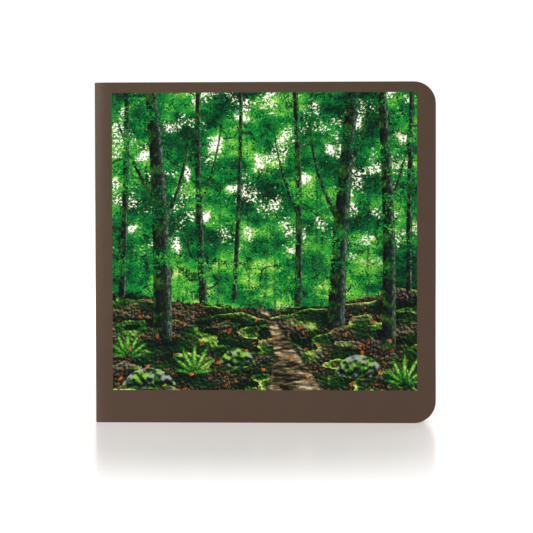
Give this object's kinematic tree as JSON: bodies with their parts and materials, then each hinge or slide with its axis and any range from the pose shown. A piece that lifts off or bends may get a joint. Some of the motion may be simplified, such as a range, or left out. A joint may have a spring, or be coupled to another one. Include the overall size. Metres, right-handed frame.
{
  "type": "board book",
  "caption": "Square board book with thick card leaves, two hinged flush covers, rounded fore-edge corners and a woodland picture on the front cover.",
  "frame": {"origin": "on the standing surface, under the middle of the closed book's bounding box", "axes": "+X from the spine to the fore edge, +Y from the front cover to the back cover, +Z from the tail to the head"},
  "size_m": [0.2, 0.0234, 0.2],
  "materials": {
    "cover_laminate": "satin",
    "page_board": "matte",
    "picture_fallen_leaves": "satin",
    "picture_ferns": "satin",
    "picture_stones": "satin",
    "picture_trunks": "satin",
    "picture_far_trunks": "satin",
    "picture_path": "satin",
    "picture_ground": "satin",
    "picture_sky": "satin",
    "picture_glade": "satin",
    "picture_foliage": "satin"
  },
  "bodies": {
    "book_block": {"page_block": "page_board", "spine": "cover_laminate"},
    "front_cover": {"front_cover": "cover_laminate", "picture_fallen_leaves": "picture_fallen_leaves", "picture_ferns": "picture_ferns", "picture_stones": "picture_stones", "picture_trunks": "picture_trunks", "picture_far_trunks": "picture_far_trunks", "picture_path": "picture_path", "picture_ground": "picture_ground", "picture_sky": "picture_sky", "picture_glade": "picture_glade", "picture_foliage": "picture_foliage"},
    "back_cover": {"back_cover": "cover_laminate"}
  },
  "joints": [
    {"name": "front_cover_hinge", "type": "hinge", "parent": "book_block", "child": "front_cover", "pos_m": [-0.1, -0.0095, 0.1], "axis": [0, 0, -1], "range_deg": [0, 180]},
    {"name": "back_cover_hinge", "type": "hinge", "parent": "book_block", "child": "back_cover", "pos_m": [-0.1, 0.0095, 0.1], "axis": [0, 0, 1], "range_deg": [0, 180]}
  ]
}
